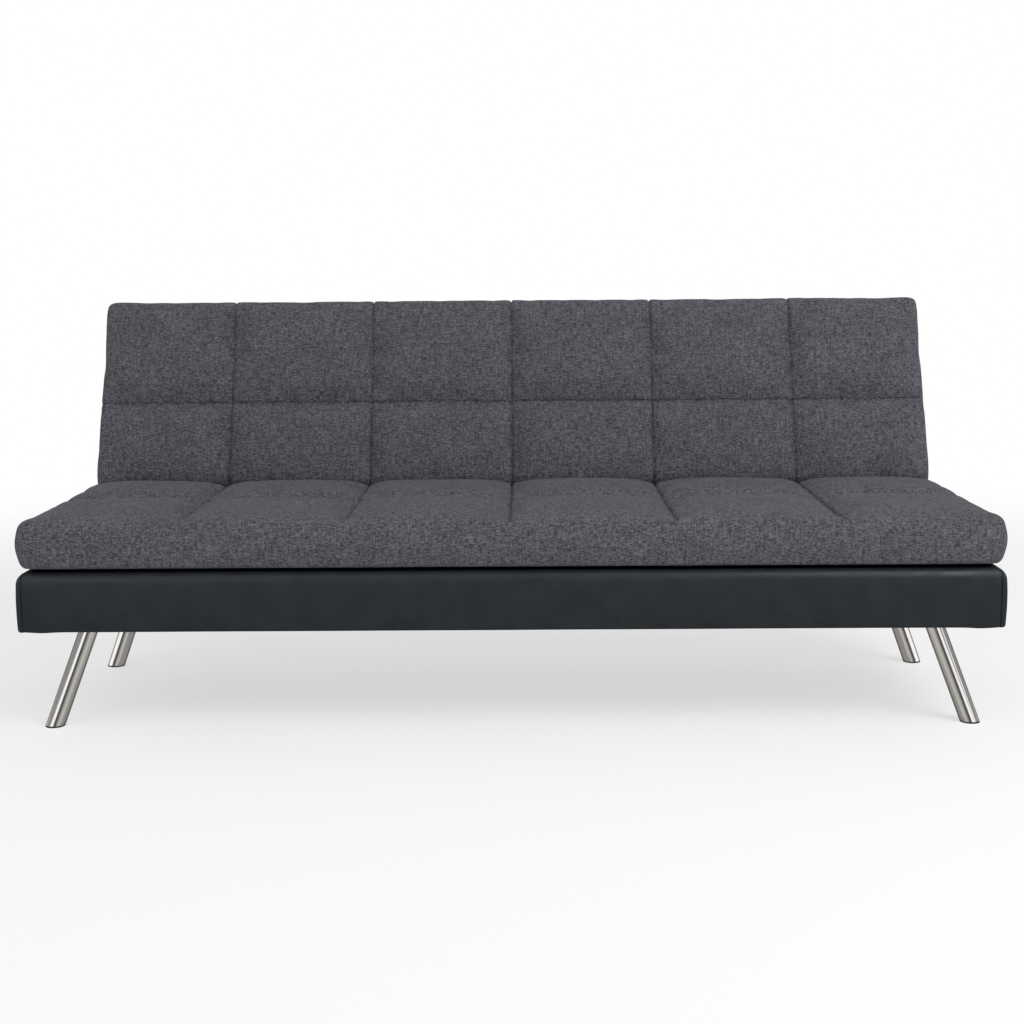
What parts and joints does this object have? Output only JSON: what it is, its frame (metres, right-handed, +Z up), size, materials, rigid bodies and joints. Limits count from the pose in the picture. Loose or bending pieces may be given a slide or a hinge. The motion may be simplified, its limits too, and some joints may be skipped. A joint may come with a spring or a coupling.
{
  "type": "click clack sofa bed",
  "caption": "Three-seat click clack sofa bed with channelled woven pads, a leatherette-wrapped base and splayed chrome legs; the back folds flat.",
  "frame": {"origin": "On the floor, under the middle of the sofa's box, in millimetres in the source and metres here.", "axes": "+X runs along the length, to the right of somebody who faces the sofa; -Y is the front; +Z is up."},
  "size_m": [1.7984, 0.7464, 0.7683],
  "materials": {
    "woven_fabric": "dark grey melange plain weave polyester, matt",
    "leatherette": "black PU leatherette with a fine grain, satin",
    "black_cloth": "black non-woven polypropylene, matt",
    "pine": "planed pine, unfinished",
    "hardboard": "pressed hardboard",
    "black_steel": "black powder-coated steel",
    "zinc_steel": "zinc-plated steel",
    "chrome_tube": "polished chrome plate on steel tube",
    "glide_plastic": "black moulded polypropylene"
  },
  "bodies": {
    "base": {"base_front_rail": "pine", "base_rear_rail": "pine", "base_left_rail": "pine", "base_right_rail": "pine", "base_cross_rail_left": "pine", "base_cross_rail_right": "pine", "base_cover_front": "leatherette", "base_cover_rear": "leatherette", "base_cover_left": "leatherette", "base_cover_right": "leatherette", "base_dust_cloth": "black_cloth", "leg_plate_front_left": "black_steel", "leg_plate_front_right": "black_steel", "leg_plate_rear_left": "black_steel", "leg_plate_rear_right": "black_steel", "leg_front_left": "chrome_tube", "leg_front_right": "chrome_tube", "leg_rear_left": "chrome_tube", "leg_rear_right": "chrome_tube", "leg_glide_front_left": "glide_plastic", "leg_glide_front_right": "glide_plastic", "leg_glide_rear_left": "glide_plastic", "leg_glide_rear_right": "glide_plastic", "base_bracket_left": "black_steel", "base_bracket_right": "black_steel", "pivot_bolt_left": "zinc_steel", "pivot_bolt_right": "zinc_steel"},
    "seat": {"seat_cushion": "woven_fabric", "seat_front_rail": "pine", "seat_rear_rail": "pine", "seat_left_rail": "pine", "seat_right_rail": "pine", "seat_cross_rail_1": "pine", "seat_cross_rail_2": "pine", "seat_cross_rail_3": "pine", "seat_deck": "hardboard", "seat_dust_cloth": "black_cloth", "seat_arm_left": "black_steel", "seat_arm_right": "black_steel", "seat_arm_spacer_left": "black_steel", "seat_arm_spacer_right": "black_steel", "pawl_pin_left": "zinc_steel", "pawl_pin_right": "zinc_steel", "pawl_spring_left": "zinc_steel", "pawl_spring_right": "zinc_steel"},
    "back": {"back_cushion": "woven_fabric", "back_bottom_rail": "pine", "back_top_rail": "pine", "back_left_rail": "pine", "back_right_rail": "pine", "back_cross_rail_1": "pine", "back_cross_rail_2": "pine", "back_cross_rail_3": "pine", "back_deck": "hardboard", "back_dust_cloth": "black_cloth", "back_arm_left": "black_steel", "back_arm_right": "black_steel"},
    "left_latch": {"pawl_left": "zinc_steel"},
    "right_latch": {"pawl_right": "zinc_steel"}
  },
  "joints": [
    {"name": "seat_lift", "type": "hinge", "parent": "base", "child": "seat", "pos_m": [0, 0.17853, 0.343], "axis": [-1, 0, 0], "range_deg": [0, 30]},
    {"name": "back_recline", "type": "hinge", "parent": "seat", "child": "back", "pos_m": [0, 0.17853, 0.343], "axis": [-1, 0, 0], "range_deg": [0, 68]},
    {"name": "latch_left", "type": "hinge", "parent": "seat", "child": "left_latch", "pos_m": [-0.8607, 0.13053, 0.316], "axis": [1, 0, 0], "range_deg": [0, 6.5]},
    {"name": "latch_right", "type": "hinge", "parent": "seat", "child": "right_latch", "pos_m": [0.8607, 0.13053, 0.316], "axis": [1, 0, 0], "range_deg": [0, 6.5]}
  ],
  "couplings": [
    {"joint": "latch_right", "follows": "latch_left", "ratio": 1}
  ]
}
